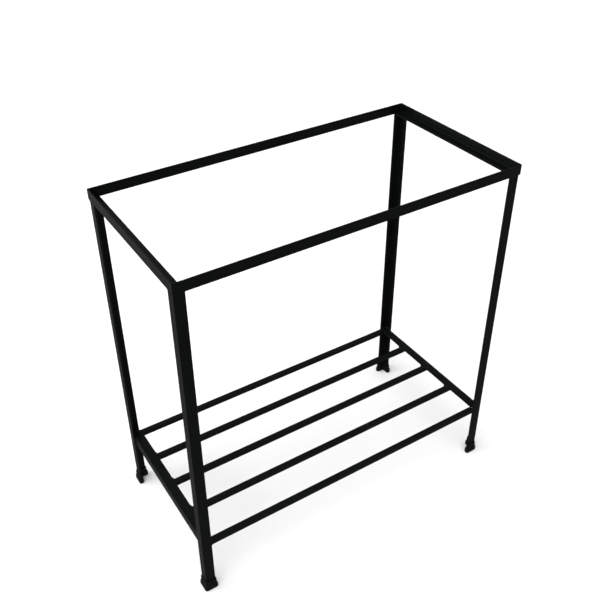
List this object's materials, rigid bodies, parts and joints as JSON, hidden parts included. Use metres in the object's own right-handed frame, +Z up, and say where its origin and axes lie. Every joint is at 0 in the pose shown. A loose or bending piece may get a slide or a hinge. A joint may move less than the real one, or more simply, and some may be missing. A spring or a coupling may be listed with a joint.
{
  "type": "propane burner stand",
  "caption": "Free-standing black steel stand: a ledged top frame that holds a gas burner, angle-iron legs with plastic foot caps and a low slatted shelf.",
  "frame": {"origin": "on the floor, under the middle of the stand", "axes": "+Z up, front (the long side that the burner's knobs face) at -Y, +X to the right seen from the front"},
  "size_m": [0.7054, 0.3518, 0.735],
  "materials": {
    "powder_coated_steel": "black powder coat, satin, slightly textured",
    "cap_plastic": "moulded black plastic, matte"
  },
  "bodies": {
    "root": {"top_rail_front": "powder_coated_steel", "top_rail_rear": "powder_coated_steel", "top_rail_left": "powder_coated_steel", "top_rail_right": "powder_coated_steel", "leg_front_left": "powder_coated_steel", "leg_front_right": "powder_coated_steel", "leg_rear_right": "powder_coated_steel", "leg_rear_left": "powder_coated_steel", "shelf_rail_left": "powder_coated_steel", "shelf_rail_right": "powder_coated_steel", "shelf_slat_1": "powder_coated_steel", "shelf_slat_2": "powder_coated_steel", "shelf_slat_3": "powder_coated_steel", "shelf_slat_4": "powder_coated_steel", "shelf_slat_5": "powder_coated_steel", "foot_cap_front_left": "cap_plastic", "foot_cap_front_right": "cap_plastic", "foot_cap_rear_right": "cap_plastic", "foot_cap_rear_left": "cap_plastic"}
  },
  "joints": []
}
